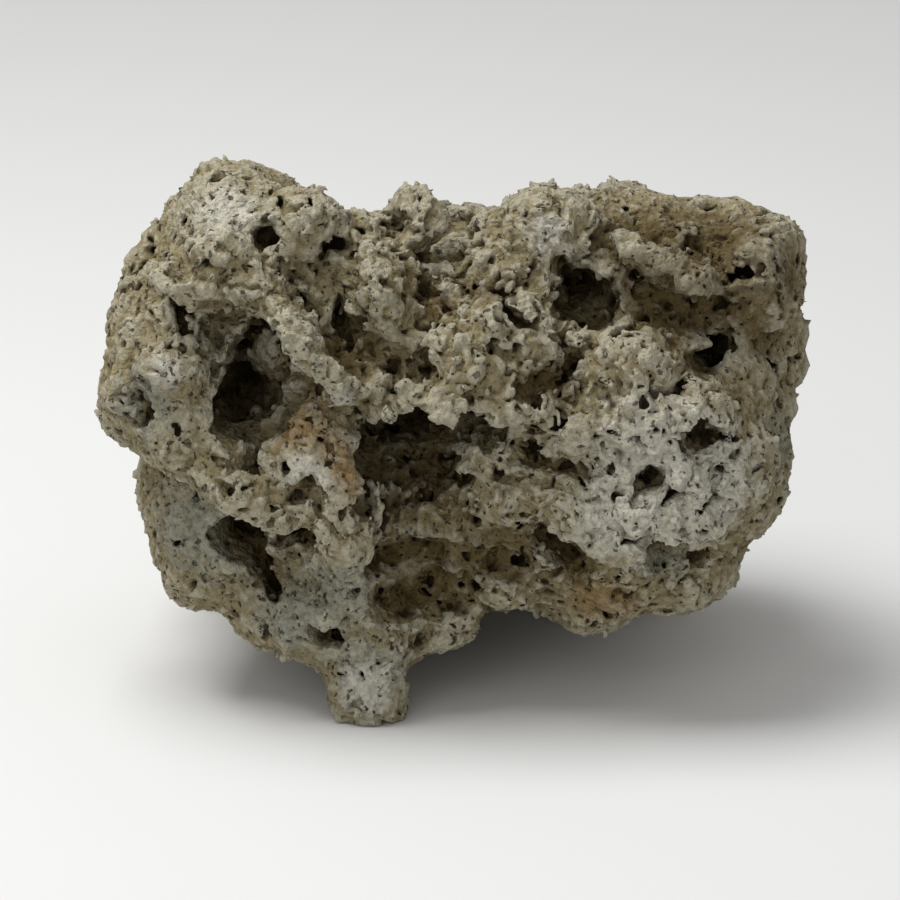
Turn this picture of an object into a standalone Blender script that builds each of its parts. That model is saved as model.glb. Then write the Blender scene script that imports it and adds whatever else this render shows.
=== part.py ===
# A single dry reef rock: one piece of old coral limestone. Rounded lobes have grown together,
# caves, bored holes and pits are eaten into them, and it rests on one worn front foot and on a
# broad base at the back, with its underside rising between them.
# The tables are in millimetres and the model is in metres: +X right, +Y to the back, +Z up.

import math
import random

import bmesh
import bpy
from mathutils import Euler, Matrix, Vector

MM = 0.001

# Where the middle of the finished outline stands in the tables, which comes to X = Y = 0.
MIDDLE = Vector((0.8, 6.0, 0.0))

# Lobes of grown stone: name, centre, half sizes, and the turn about X, Y and Z in degrees.
LOBES = (
    ("core", (0, 8, 65), (64, 40, 41), (0, 0, 0)),
    ("head", (-45.5, -12, 98.5), (19.5, 24, 23), (0, 0, 0)),
    ("head_shoulder", (-57, -8, 88), (16.5, 26, 23), (0, 24, 0)),
    ("head_top", (-49, -14, 114), (11, 13, 11), (0, 0, 0)),
    ("head_crest", (-50, -30, 107), (8, 9, 10), (0, 35, 0)),
    ("head_ledge", (-53, -34, 102.5), (14, 8, 4), (0, 4, 0)),
    ("head_side", (-33, -25, 113.5), (9, 10, 8.5), (0, 0, 0)),
    ("brow", (-22, -14, 89), (26, 22, 23), (0, 0, 0)),
    ("brow_crest", (-14, -32, 99), (6, 9, 11), (0, -20, 0)),
    ("left_cheek", (-61.5, -16, 71), (16.5, 24, 17), (0, 0, 0)),
    ("cheek_corner", (-68, -14, 84), (9.5, 14, 10), (0, 0, 0)),
    ("cheek_knob", (-63, -36, 83), (8, 7, 5.5), (0, -25, 0)),
    ("cheek_jowl", (-58, -34, 66), (12, 9, 8), (0, 30, 0)),
    ("left_flank", (-45, -12, 46), (26, 28, 25), (0, 0, 0)),
    ("left_heel", (-38.5, -25, 25), (13, 13, 12.5), (0, 0, 0)),
    ("heel_side", (-53, -18, 31.5), (11.5, 14, 11.5), (0, 0, 0)),
    ("flap", (-45, -42, 54), (14, 7, 5), (0, 28, 0)),
    ("leg", (-21, -31, 25), (20, 15, 17), (0, 0, 0)),
    ("leg_tip", (-18.5, -37, 8), (10, 9, 14), (0, -6, 0)),
    ("knee", (-2, -30, 22), (9, 11, 9), (0, 0, 0)),
    ("trunk", (-24, -38, 50), (9, 13, 26), (0, -8, 0)),
    ("trunk_top", (-31, -42, 64), (10, 7, 7), (0, -14, 0)),
    ("ridge", (-30, -40, 89), (3.2, 12, 18), (0, -38, 0)),
    ("face", (0, -22, 77), (34, 20, 26), (-14, 0, 0)),
    ("face_swell", (10, -36, 86), (17, 10, 12), (-14, 0, 0)),
    ("cave_lip", (6, -42, 77), (19, 8, 6), (0, -8, 0)),
    ("belly", (8, -16, 39), (32, 24, 20), (0, 0, 0)),
    ("belly_swell", (16, -36, 54), (11, 10, 8), (0, -25, 0)),
    ("crown", (20, -12, 95), (23, 22, 20), (0, 0, 0)),
    ("crown_bump", (22, -22, 112), (9, 9, 9), (0, 0, 0)),
    ("crown_knob", (-5, -19, 111.5), (6.5, 8, 6.5), (0, 0, 0)),
    ("right_brow", (46, -2, 92), (30, 26, 21), (0, 3, 0)),
    ("brow_band", (50, -28, 105), (15, 7, 4.5), (0, 28, 0)),
    ("temple", (42, -33, 82), (16, 12, 11), (0, 10, 0)),
    ("brow_corner", (69, -9, 96.5), (11, 18, 13.5), (0, 0, 0)),
    ("right_side", (59.5, -2, 72), (19, 30, 26), (0, 0, 0)),
    ("right_jaw", (45, -24, 54), (31, 28, 23), (0, -22, 0)),
    ("jaw_top", (42, -40, 72), (20, 10, 9), (0, -10, 0)),
    ("jaw_knob", (67, -16, 60), (11, 13, 11), (0, 0, 0)),
    ("jaw_ledge", (32, -42, 50), (16, 10, 7), (0, 38, 0)),
    ("jaw_base", (41, -20, 35), (19, 22, 15), (0, 0, 0)),
    ("jaw_corner", (63.5, -18, 50), (14.5, 18, 14.5), (0, 0, 0)),
    ("jaw_chin", (54, -18, 33), (14, 18, 13), (0, -14, 0)),
    ("jaw_foot", (34, -20, 27), (9, 12, 9), (0, 0, 0)),
    ("back", (-8, 30, 63), (58, 29, 36), (0, 0, 0)),
    ("back_right", (42, 28, 62), (28, 27, 34), (0, 0, 0)),
    ("back_left", (-44, 28, 62), (27, 27, 32), (0, 0, 0)),
    ("back_ledge", (8, 44, 84), (40, 16, 11), (0, 8, 12)),
    ("back_lump", (-34, 43, 56), (19, 17, 20), (0, 0, 0)),
    ("under_left", (-32, 14, 38), (30, 32, 27), (0, 0, 0)),
    ("under_right", (30, 18, 42), (30, 30, 28), (0, 0, 0)),
    ("base_left", (-33, 43, 24), (31, 17, 28), (0, 0, 0)),
    ("base_right", (33, 44, 22), (29, 16, 26), (0, 0, 0)),
    ("base_middle", (2, 44, 28), (30, 15, 25), (0, 0, 0)),
)

# Lobes that carry more or fewer small growths than the others, as a share; the rest have 1.
KNOBBLY = {
    "face": 3,
    "crown": 2,
    "brow": 2,
    "right_jaw": 2,
    "face_swell": 6,
    "cave_lip": 3,
    "temple": 4,
    "jaw_top": 4,
    "left_flank": 0.4,
    "head_shoulder": 0.2,
    "cheek_corner": 0.2,
    "leg_tip": 0,
}

# Caves, bored holes, clefts and hollows eaten into the lobes: name, centre, half sizes and turn.
HOLLOWS = (
    ("brow_scoop", (-48, -44, 91.5), (13, 16, 8), (0, 12, 0)),
    ("left_cave", (-42.5, -36, 80), (7.5, 26, 12.5), (0, 24, 0)),
    ("left_cave_deep", (-46, -28, 72), (8, 24, 8), (0, 0, 0)),
    ("middle_cave", (-9, -40, 65), (13, 30, 10), (0, -6, 0)),
    ("middle_cave_right", (5, -40, 69.5), (10, 26, 5.5), (0, -8, 0)),
    ("middle_cave_tail", (-18, -42, 56), (3.5, 12, 9), (0, -12, 0)),
    ("upper_cave", (30, -30, 98), (7.5, 20, 7), (0, -15, 0)),
    ("upper_cave_notch", (26, -32, 104), (3, 12, 5), (0, 0, 0)),
    ("bored_hole", (59, -26, 84), (4.2, 22, 4.2), (0, 0, 0)),
    ("brow_groove", (49, -37, 98), (16, 10, 4.2), (0, 26, 0)),
    ("brow_pit", (49, -21, 113), (7, 12, 4.5), (25, 10, 0)),
    ("brow_pit_low", (56, -24, 108), (4, 8, 2.5), (0, 20, 0)),
    ("brow_pit_small", (68.5, -16, 101), (3.5, 12, 3.5), (0, 0, 0)),
    ("flank_cleft", (-47, -38, 44), (5.5, 14, 8), (0, -32, 0)),
    ("flank_cleft_right", (-35, -42, 45.5), (5.5, 10, 3), (0, -28, 0)),
    ("flank_cleft_low", (-40, -38, 37), (2.5, 12, 7), (0, -25, 0)),
    ("belly_hollow", (-8, -43, 38.5), (11, 12, 6), (0, 0, 0)),
    ("belly_recess", (8, -46, 38), (15, 11, 6), (0, 6, 0)),
    ("ledge_shadow", (25, -46, 41), (4, 13, 11), (0, -46, 0)),
    ("jaw_slot", (46, -53, 60), (7, 9, 2.6), (0, -40, 0)),
    ("jaw_dimple", (50, -48, 42), (8, 8, 5.5), (0, 20, 0)),
    ("face_pit", (-4, -38, 101), (3.5, 10, 5.5), (0, 0, 0)),
    ("face_hollow", (23, -48, 84), (8, 7, 3.8), (0, -10, 0)),
    ("brow_hollow", (13, -40, 104), (6.5, 7, 3.6), (0, 0, 0)),
    ("cheek_hollow", (-60, -33, 94), (3.5, 8, 6.5), (0, -15, 0)),
    ("cheek_dish", (-71, -34, 75), (5.5, 5, 4.5), (0, 0, 0)),
    ("head_pit", (-41, -32, 112), (4, 6, 4), (0, 0, 0)),
    ("brow_crater", (-25.5, -32, 109.5), (4.5, 8, 3.5), (0, 0, 0)),
    ("ridge_cleft", (-23.5, -38, 93), (2.6, 10, 7.5), (0, 0, 0)),
    ("crown_notch", (-12, -26, 113), (4, 8, 3.5), (0, 0, 0)),
    ("trunk_pit", (-31, -51, 57), (5, 6, 4), (0, 30, 0)),
    ("knee_pit", (-27, -44, 22), (4, 7, 2.6), (0, 15, 0)),
    ("back_cave", (12, 60, 64), (18, 15, 11), (0, 12, 0)),
    ("back_cave_low", (-6, 61, 42), (11, 12, 9), (0, -20, 0)),
    ("back_bore", (-30, 60, 76), (5, 20, 5), (0, 0, 0)),
    ("back_hollow", (46, 56, 82), (12, 12, 8), (0, 0, 20)),
    ("left_side_cave", (-77, 20, 64), (16, 10, 13), (0, 0, 0)),
    ("right_side_cave", (79, 22, 58), (14, 9, 12), (20, 0, 0)),
    ("right_side_dish", (91, -2, 77), (10.5, 20, 13), (0, 0, 0)),
    ("top_pit", (14, 22, 111), (12, 8, 9), (0, 0, 20)),
    ("top_pit_left", (-34, 16, 114), (8, 11, 10), (0, 0, -20)),
    ("top_groove", (40, 26, 108), (14, 5, 6), (0, 0, 35)),
    ("under_hollow", (2, 8, 4), (24, 15, 13), (0, 0, 0)),
)

# Small growths and small hollows scattered over the skin of the lobes: how many, the range of
# their sizes, how far the middle of each is under the skin, as a share of its size, and the
# nearest to the front that they grow: the large ones of the front are in the tables above.
LUMPS = {"seed": 587, "count": 70, "sizes": (9.0, 15.0), "sunk": 0.72, "nearest": -16}
KNOBS = {"seed": 4, "count": 200, "sizes": (4.0, 7.0), "sunk": 0.55, "nearest": -60}
DENTS = {"seed": 8, "count": 40, "sizes": (7.0, 12.0), "sunk": -0.7, "nearest": -12}
PITS = {"seed": 9, "count": 80, "sizes": (2.8, 4.4), "sunk": -0.25, "nearest": -60}

JOINING_STEP = 2.2  # grid on which the lobes and knobs become one skin
HOLLOW_STEP = 1.5
SKIN_STEP = 1.8  # grid of the skin with its hollows cut
ROUNDING = 4  # rounds of smoothing over the creases between lobes
TRIANGLES = 8800

SLAB = (240, 200, 40)  # what the worn feet are cut flat with, its top at Z = 0

STONE_COLOUR = (0.36, 0.32, 0.23, 1)
STONE_ROUGHNESS = 0.93


def turned(turn):
    return Euler([math.radians(angle) for angle in turn]).to_matrix()


def buried(place, own):
    """Whether a place on one lobe's skin is inside another lobe."""
    for name, centre, half_sizes, turn in LOBES:
        inner = turned(turn).transposed() @ (place - Vector(centre))
        if name != own and sum((i / h) ** 2 for i, h in zip(inner, half_sizes)) < 1:
            return True
    return False


def scattered(seed, count, sizes, sunk, nearest):
    """Rows of small stretched balls at random places on the skin, more on the knobbly lobes."""
    dice = random.Random(seed)
    shares = [KNOBBLY.get(name, 1) * math.prod(half) ** (2 / 3) for name, _, half, _ in LOBES]
    rows = []
    while len(rows) < count:
        name, centre, half_sizes, turn = dice.choices(LOBES, shares)[0]
        way = Vector([dice.gauss(0, 1) for _ in range(3)]).normalized()
        place = turned(turn) @ Vector([w * h for w, h in zip(way, half_sizes)]) + Vector(centre)
        out = (turned(turn) @ Vector([w / h for w, h in zip(way, half_sizes)])).normalized()
        if place.y < nearest or buried(place, name):
            continue
        size = dice.uniform(*sizes)
        stretch = [size * dice.uniform(0.7, 1.3) for _ in range(3)]
        spin = [dice.uniform(0, 180) for _ in range(3)]
        rows.append((name, tuple(place - out * size * sunk), stretch, spin))
    return rows


def add_balls(shape, rows, divisions):
    """Stretched and turned balls, one for each row."""
    for _, centre, half_sizes, turn in rows:
        placed = (
            Matrix.Translation((Vector(centre) - MIDDLE) * MM)
            @ turned(turn).to_4x4()
            @ Matrix.Diagonal((*[half * MM for half in half_sizes], 1))
        )
        bmesh.ops.create_icosphere(shape, subdivisions=divisions, radius=1, matrix=placed)


def cluster(name, large, small):
    """One object made of the large and the small balls."""
    shape = bmesh.new()
    add_balls(shape, large, 4)
    add_balls(shape, small, 2)
    mesh = bpy.data.meshes.new(name)
    shape.to_mesh(mesh)
    shape.free()
    made = bpy.data.objects.new(name, mesh)
    bpy.context.scene.collection.objects.link(made)
    return made


def join(made, step):
    voxels = made.modifiers.new("join", "REMESH")
    voxels.mode = "VOXEL"
    voxels.voxel_size = step * MM
    voxels.use_smooth_shade = True


def soften(made, rounds):
    smooth = made.modifiers.new("soften", "SMOOTH")
    smooth.factor = 0.5
    smooth.iterations = rounds


def cut(made, cutter, name):
    cutter.hide_render = True
    cutter.display_type = "WIRE"
    taken = made.modifiers.new(name, "BOOLEAN")
    taken.object = cutter


def thin_out(made, triangles):
    """Fewer faces, where the skin is flattest, down to the number given."""
    bpy.context.view_layer.update()
    skin = made.evaluated_get(bpy.context.evaluated_depsgraph_get()).data
    skin.calc_loop_triangles()
    fewer = made.modifiers.new("facets", "DECIMATE")
    fewer.ratio = triangles / len(skin.loop_triangles)


def floor_slab():
    shape = bmesh.new()
    placed = Matrix.Translation((0, 0, -SLAB[2] / 2 * MM)) @ Matrix.Diagonal((*[s * MM for s in SLAB], 1))
    bmesh.ops.create_cube(shape, size=1, matrix=placed)
    mesh = bpy.data.meshes.new("floor_slab")
    shape.to_mesh(mesh)
    shape.free()
    made = bpy.data.objects.new("floor_slab", mesh)
    bpy.context.scene.collection.objects.link(made)
    return made


def stone():
    material = bpy.data.materials.new("reef_stone")
    material.use_nodes = True
    shader = material.node_tree.nodes["Principled BSDF"]
    shader.inputs["Base Color"].default_value = STONE_COLOUR
    shader.inputs["Roughness"].default_value = STONE_ROUGHNESS
    shader.inputs["Metallic"].default_value = 0
    return material


def main():
    for old in list(bpy.data.objects):
        bpy.data.objects.remove(old, do_unlink=True)

    rock = cluster("reef_rock", LOBES, scattered(**LUMPS) + scattered(**KNOBS))
    rock.data.materials.append(stone())
    join(rock, JOINING_STEP)
    soften(rock, ROUNDING)

    hollows = cluster("hollows", HOLLOWS, scattered(**DENTS) + scattered(**PITS))
    join(hollows, HOLLOW_STEP)
    cut(rock, hollows, "hollow out")
    join(rock, SKIN_STEP)
    thin_out(rock, TRIANGLES)
    cut(rock, floor_slab(), "worn feet")


main()
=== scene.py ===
import math
import random
import time
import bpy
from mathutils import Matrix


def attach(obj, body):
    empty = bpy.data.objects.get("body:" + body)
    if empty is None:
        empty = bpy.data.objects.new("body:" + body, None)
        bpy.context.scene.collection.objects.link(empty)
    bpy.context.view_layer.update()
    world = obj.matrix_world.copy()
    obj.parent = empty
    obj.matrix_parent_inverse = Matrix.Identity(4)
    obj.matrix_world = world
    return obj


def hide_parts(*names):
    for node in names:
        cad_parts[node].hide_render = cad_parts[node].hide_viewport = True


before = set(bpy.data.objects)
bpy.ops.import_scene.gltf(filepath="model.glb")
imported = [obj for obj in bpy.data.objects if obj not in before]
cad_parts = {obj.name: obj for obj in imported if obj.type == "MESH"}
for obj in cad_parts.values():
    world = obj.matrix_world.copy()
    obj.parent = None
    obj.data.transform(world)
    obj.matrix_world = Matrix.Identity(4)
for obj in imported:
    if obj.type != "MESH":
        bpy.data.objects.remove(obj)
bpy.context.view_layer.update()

from concurrent.futures import ThreadPoolExecutor
from functools import lru_cache
from itertools import product

import bpy
import numpy as np
from mathutils import Euler, Vector

began = time.time()


def stage(words):
    print(f"{time.time() - began:6.1f} s  {words}", flush=True)


# The rock's form, in millimetres: +X right, +Y to the back, +Z up, as its solid was made.
# A row is a name, a centre, three half sizes and a turn about X, Y and Z in degrees.
rockForm = {
    "middle": (0.8, 6.0, 0.0),  # where X = Y = 0 stands in these tables
    "lobes": (
        ("core", (0, 8, 65), (64, 40, 41), (0, 0, 0)),
        ("head", (-45.5, -12, 98.5), (19.5, 24, 23), (0, 0, 0)),
        ("head_shoulder", (-57, -8, 88), (16.5, 26, 23), (0, 24, 0)),
        ("head_top", (-49, -14, 114), (11, 13, 11), (0, 0, 0)),
        ("head_crest", (-50, -30, 107), (8, 9, 10), (0, 35, 0)),
        ("head_ledge", (-53, -34, 102.5), (14, 8, 4), (0, 4, 0)),
        ("head_side", (-33, -25, 113.5), (9, 10, 8.5), (0, 0, 0)),
        ("brow", (-22, -14, 89), (26, 22, 23), (0, 0, 0)),
        ("brow_crest", (-14, -32, 99), (6, 9, 11), (0, -20, 0)),
        ("left_cheek", (-61.5, -16, 71), (16.5, 24, 17), (0, 0, 0)),
        ("cheek_corner", (-68, -14, 84), (9.5, 14, 10), (0, 0, 0)),
        ("cheek_knob", (-63, -36, 83), (8, 7, 5.5), (0, -25, 0)),
        ("cheek_jowl", (-58, -34, 66), (12, 9, 8), (0, 30, 0)),
        ("left_flank", (-45, -12, 46), (26, 28, 25), (0, 0, 0)),
        ("left_heel", (-38.5, -25, 25), (13, 13, 12.5), (0, 0, 0)),
        ("heel_side", (-53, -18, 31.5), (11.5, 14, 11.5), (0, 0, 0)),
        ("flap", (-45, -42, 54), (14, 7, 5), (0, 28, 0)),
        ("leg", (-21, -31, 25), (20, 15, 17), (0, 0, 0)),
        ("leg_tip", (-18.5, -37, 8), (10, 9, 14), (0, -6, 0)),
        ("knee", (-2, -30, 22), (9, 11, 9), (0, 0, 0)),
        ("trunk", (-24, -38, 50), (9, 13, 26), (0, -8, 0)),
        ("trunk_top", (-31, -42, 64), (10, 7, 7), (0, -14, 0)),
        ("ridge", (-30, -40, 89), (3.2, 12, 18), (0, -38, 0)),
        ("face", (0, -22, 77), (34, 20, 26), (-14, 0, 0)),
        ("face_swell", (10, -36, 86), (17, 10, 12), (-14, 0, 0)),
        ("cave_lip", (6, -42, 77), (19, 8, 6), (0, -8, 0)),
        ("belly", (8, -16, 39), (32, 24, 20), (0, 0, 0)),
        ("belly_swell", (16, -36, 54), (11, 10, 8), (0, -25, 0)),
        ("crown", (20, -12, 95), (23, 22, 20), (0, 0, 0)),
        ("crown_bump", (22, -22, 112), (9, 9, 9), (0, 0, 0)),
        ("crown_knob", (-5, -19, 111.5), (6.5, 8, 6.5), (0, 0, 0)),
        ("right_brow", (46, -2, 92), (30, 26, 21), (0, 3, 0)),
        ("brow_band", (50, -28, 105), (15, 7, 4.5), (0, 28, 0)),
        ("temple", (42, -33, 82), (16, 12, 11), (0, 10, 0)),
        ("brow_corner", (69, -9, 96.5), (11, 18, 13.5), (0, 0, 0)),
        ("right_side", (59.5, -2, 72), (19, 30, 26), (0, 0, 0)),
        ("right_jaw", (45, -24, 54), (31, 28, 23), (0, -22, 0)),
        ("jaw_top", (42, -40, 72), (20, 10, 9), (0, -10, 0)),
        ("jaw_knob", (67, -16, 60), (11, 13, 11), (0, 0, 0)),
        ("jaw_ledge", (32, -42, 50), (16, 10, 7), (0, 38, 0)),
        ("jaw_base", (41, -20, 35), (19, 22, 15), (0, 0, 0)),
        ("jaw_corner", (63.5, -18, 50), (14.5, 18, 14.5), (0, 0, 0)),
        ("jaw_chin", (54, -18, 33), (14, 18, 13), (0, -14, 0)),
        ("jaw_foot", (34, -20, 27), (9, 12, 9), (0, 0, 0)),
        ("back", (-8, 30, 63), (58, 29, 36), (0, 0, 0)),
        ("back_right", (42, 28, 62), (28, 27, 34), (0, 0, 0)),
        ("back_left", (-44, 28, 62), (27, 27, 32), (0, 0, 0)),
        ("back_ledge", (8, 44, 84), (40, 16, 11), (0, 8, 12)),
        ("back_lump", (-34, 43, 56), (19, 17, 20), (0, 0, 0)),
        ("under_left", (-32, 14, 38), (30, 32, 27), (0, 0, 0)),
        ("under_right", (30, 18, 42), (30, 30, 28), (0, 0, 0)),
        ("base_left", (-33, 43, 24), (31, 17, 28), (0, 0, 0)),
        ("base_right", (33, 44, 22), (29, 16, 26), (0, 0, 0)),
        ("base_middle", (2, 44, 28), (30, 15, 25), (0, 0, 0)),
    ),
    # lobes with more or fewer small growths than the others, as a share; the rest have 1
    "knobbly": {
        "face": 3, "crown": 2, "brow": 2, "right_jaw": 2, "face_swell": 6, "cave_lip": 3,
        "temple": 4, "jaw_top": 4, "left_flank": 0.4, "head_shoulder": 0.2, "cheek_corner": 0.2,
        "leg_tip": 0,
    },
    "hollows": (
        ("brow_scoop", (-48, -44, 91.5), (13, 16, 8), (0, 12, 0)),
        ("left_cave", (-42.5, -36, 80), (7.5, 26, 12.5), (0, 24, 0)),
        ("left_cave_deep", (-46, -28, 72), (8, 24, 8), (0, 0, 0)),
        ("middle_cave", (-9, -40, 65), (13, 30, 10), (0, -6, 0)),
        ("middle_cave_right", (5, -40, 69.5), (10, 26, 5.5), (0, -8, 0)),
        ("middle_cave_tail", (-18, -42, 56), (3.5, 12, 9), (0, -12, 0)),
        ("upper_cave", (30, -30, 98), (7.5, 20, 7), (0, -15, 0)),
        ("upper_cave_notch", (26, -32, 104), (3, 12, 5), (0, 0, 0)),
        ("bored_hole", (59, -26, 84), (4.2, 22, 4.2), (0, 0, 0)),
        ("brow_groove", (49, -37, 98), (16, 10, 4.2), (0, 26, 0)),
        ("brow_pit", (49, -21, 113), (7, 12, 4.5), (25, 10, 0)),
        ("brow_pit_low", (56, -24, 108), (4, 8, 2.5), (0, 20, 0)),
        ("brow_pit_small", (68.5, -16, 101), (3.5, 12, 3.5), (0, 0, 0)),
        ("flank_cleft", (-47, -38, 44), (5.5, 14, 8), (0, -32, 0)),
        ("flank_cleft_right", (-35, -42, 45.5), (5.5, 10, 3), (0, -28, 0)),
        ("flank_cleft_low", (-40, -38, 37), (2.5, 12, 7), (0, -25, 0)),
        ("belly_hollow", (-8, -43, 38.5), (11, 12, 6), (0, 0, 0)),
        ("belly_recess", (8, -46, 38), (15, 11, 6), (0, 6, 0)),
        ("ledge_shadow", (25, -46, 41), (4, 13, 11), (0, -46, 0)),
        ("jaw_slot", (46, -53, 60), (7, 9, 2.6), (0, -40, 0)),
        ("jaw_dimple", (50, -48, 42), (8, 8, 5.5), (0, 20, 0)),
        ("face_pit", (-4, -38, 101), (3.5, 10, 5.5), (0, 0, 0)),
        ("face_hollow", (23, -48, 84), (8, 7, 3.8), (0, -10, 0)),
        ("brow_hollow", (13, -40, 104), (6.5, 7, 3.6), (0, 0, 0)),
        ("cheek_hollow", (-60, -33, 94), (3.5, 8, 6.5), (0, -15, 0)),
        ("cheek_dish", (-71, -34, 75), (5.5, 5, 4.5), (0, 0, 0)),
        ("head_pit", (-41, -32, 112), (4, 6, 4), (0, 0, 0)),
        ("brow_crater", (-25.5, -32, 109.5), (4.5, 8, 3.5), (0, 0, 0)),
        ("ridge_cleft", (-23.5, -38, 93), (2.6, 10, 7.5), (0, 0, 0)),
        ("crown_notch", (-12, -26, 113), (4, 8, 3.5), (0, 0, 0)),
        ("trunk_pit", (-31, -51, 57), (5, 6, 4), (0, 30, 0)),
        ("knee_pit", (-27, -44, 22), (4, 7, 2.6), (0, 15, 0)),
        ("back_cave", (12, 60, 64), (18, 15, 11), (0, 12, 0)),
        ("back_cave_low", (-6, 61, 42), (11, 12, 9), (0, -20, 0)),
        ("back_bore", (-30, 60, 76), (5, 20, 5), (0, 0, 0)),
        ("back_hollow", (46, 56, 82), (12, 12, 8), (0, 0, 20)),
        ("left_side_cave", (-77, 20, 64), (16, 10, 13), (0, 0, 0)),
        ("right_side_cave", (79, 22, 58), (14, 9, 12), (20, 0, 0)),
        ("right_side_dish", (91, -2, 77), (10.5, 20, 13), (0, 0, 0)),
        ("top_pit", (14, 22, 111), (12, 8, 9), (0, 0, 20)),
        ("top_pit_left", (-34, 16, 114), (8, 11, 10), (0, 0, -20)),
        ("top_groove", (40, 26, 108), (14, 5, 6), (0, 0, 35)),
        ("under_hollow", (2, 8, 4), (24, 15, 13), (0, 0, 0)),
    ),
    # small growths and hollows scattered over the lobes: how many, their sizes, how far the middle
    # of each is under the skin, as a share of its size, and the nearest to the front that they grow
    "lumps": {"seed": 587, "count": 70, "sizes": (9.0, 15.0), "sunk": 0.72, "nearest": -16},
    "knobs": {"seed": 4, "count": 200, "sizes": (4.0, 7.0), "sunk": 0.55, "nearest": -60},
    "dents": {"seed": 8, "count": 40, "sizes": (7.0, 12.0), "sunk": -0.7, "nearest": -12},
    "pits": {"seed": 9, "count": 80, "sizes": (2.8, 4.4), "sunk": -0.25, "nearest": -60},
    "stretch": (0.7, 1.3),  # of each of their sides
    "lobeBlend": 6.0,  # how softly lobes run into one another
    "lumpBlend": 5.0,
    "knobBlend": 3.0,
    "rim": 0.6,  # how round the rims of hollows are
}

# The skin on that form, in millimetres. A wobble is a field of smooth random values from -1 to 1.
rockSkin = {
    "step": 0.5,  # grid
    "quickStep": 0.9,
    "low": (-86, -64, -2.5),
    "high": (86, 64, 130),
    "band": 4.4,  # how deep the fine work reaches on both sides of the skin
    "warp": ((7.5, 2.2, 21), (3.3, 1.2, 22)),  # cell, shift and seed of what bends the hollows
    "warpReach": 3,  # how far past a hollow's own box the bends may take it
    "bend": ((4.1, 1.4, 25), (1.9, 0.6, 26)),  # and of what bends crust, grains and pores
    "swell": ((13.0, 1.1, 31), (6.0, 0.6, 32)),  # cell, height and seed
    "crust": ((6.4, 2.5, 34), (3.4, 1.7, 35), (1.8, 1.25, 36)),
    "crustMean": 0.35,  # how much of a crust's height is under the smooth form
    "fineCell": 2.0,  # crust of smaller cells than this lies on every part,
    "fineShare": 0.6,  # this much of it where there is no other
    "vugs": ((9.5, 0.78, 61), (4.8, 0.7, 62), (2.7, 0.62, 63)),  # cell, least value and seed
    "vugDepth": 0.5,  # for the size of the cell
    "grains": (  # cell, smallest and largest ball, seed, share kept
        (3.4, 0.8, 1.5, 41, 0.7),
        (2.2, 0.55, 1.0, 42, 0.8),
    ),
    "pores": (
        (5.5, 0.7, 1.3, 51, 0.35),
        (2.7, 0.45, 0.8, 52, 0.4),
    ),
    "grainDepth": (-0.9, -0.1),  # of the middles of the balls, for their size
    "poreDepth": (-0.5, 0.6),
    "jitter": 0.3,  # of those middles in their cells
    "grainBlend": 0.3,
    "poreRim": 0.2,
    # how thick the crust is: name, centre, reach and share of the full crust
    "crustShare": 0.45,
    "crustRest": 0.12,  # how much that share counts against the patches
    "crustFall": 1.3,  # how fast a patch fades
    "crustPatches": (
        ("face", (2, -40, 86), 30, 1.0),
        ("crown", (10, -25, 108), 24, 0.9),
        ("jaw_top", (45, -45, 68), 20, 0.75),
        ("jaw", (54, -38, 48), 18, 0.5),
        ("head", (-48, -30, 103), 17, 0.6),
        ("flank", (-47, -38, 36), 24, 0.25),
        ("leg", (-18, -42, 16), 20, 0.3),
        ("cheek", (-66, -36, 74), 14, 0.25),
        ("flap", (-44, -46, 56), 10, 0.4),
        ("trunk", (-24, -46, 62), 9, 0.8),
        ("belly", (6, -36, 40), 15, 0.4),
        ("belly_low", (-4, -38, 30), 11, 0.15),
        ("brow_band", (54, -30, 104), 15, 0.3),
        ("side", (78, -15, 78), 18, 0.1),
        ("bored_hole", (59, -32, 84), 8, 0.05),
        ("upper_cave", (30, -34, 98), 8, 0.3),
        ("middle_cave", (-5, -44, 65), 12, 0.3),
        ("left_cave", (-44, -40, 78), 10, 0.3),
    ),
    # hollows cut deeper than in the solid, so that the crust doesn't fill them
    "deeper": (
        ("middle_cave", (-6, -50, 66), (16, 14, 10), (0, -6, 0)),
        ("left_cave", (-43.5, -46, 70.5), (6.5, 11, 6.5), (0, 0, 0)),
        ("cave_floor", (-5, -34, 58), (14, 16, 5), (0, 0, 0)),
        ("belly", (-3, -44, 30), (14, 12, 7), (0, 0, 0)),
        ("ledge", (26, -50, 42), (4, 12, 13), (0, -46, 0)),
        ("jaw_dimple", (50, -49, 40.5), (6, 7.5, 5), (0, 20, 0)),
        ("brow_pit", (49, -25, 115), (7.5, 10, 4.5), (25, 10, 0)),
        ("bored_hole", (59, -36, 84), (4.3, 12, 4.3), (0, 0, 0)),
        ("face_hollow", (24, -49, 84), (7, 7, 4.2), (0, -10, 0)),
        ("trunk_cleft", (-36, -50, 40), (2.2, 8, 6), (0, 30, 0)),
        ("flank_cleft", (-46, -38, 42.5), (6, 17, 7.5), (0, -32, 0)),
        ("flank_cleft_low", (-41, -38, 34), (3, 14, 7), (0, -25, 0)),
    ),
    # and hollows partly filled
    "fuller": (
        ("cheek_dish", (-70.5, -29.5, 74), (7, 7, 6.5), (0, 0, 0)),
        ("left_cave_wall", (-38.5, -9, 82), (7.5, 14, 9), (0, 0, 0)),
    ),
    "triangles": 196000,
    "hidden": (-13.0, -5.0),  # Y from which the skin is under the crust, and from which it is bare
    "hiddenLevels": 5,  # steps between the two
    "hiddenFactor": 3e-5,  # how much more the skin is thinned under the crust
}

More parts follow.
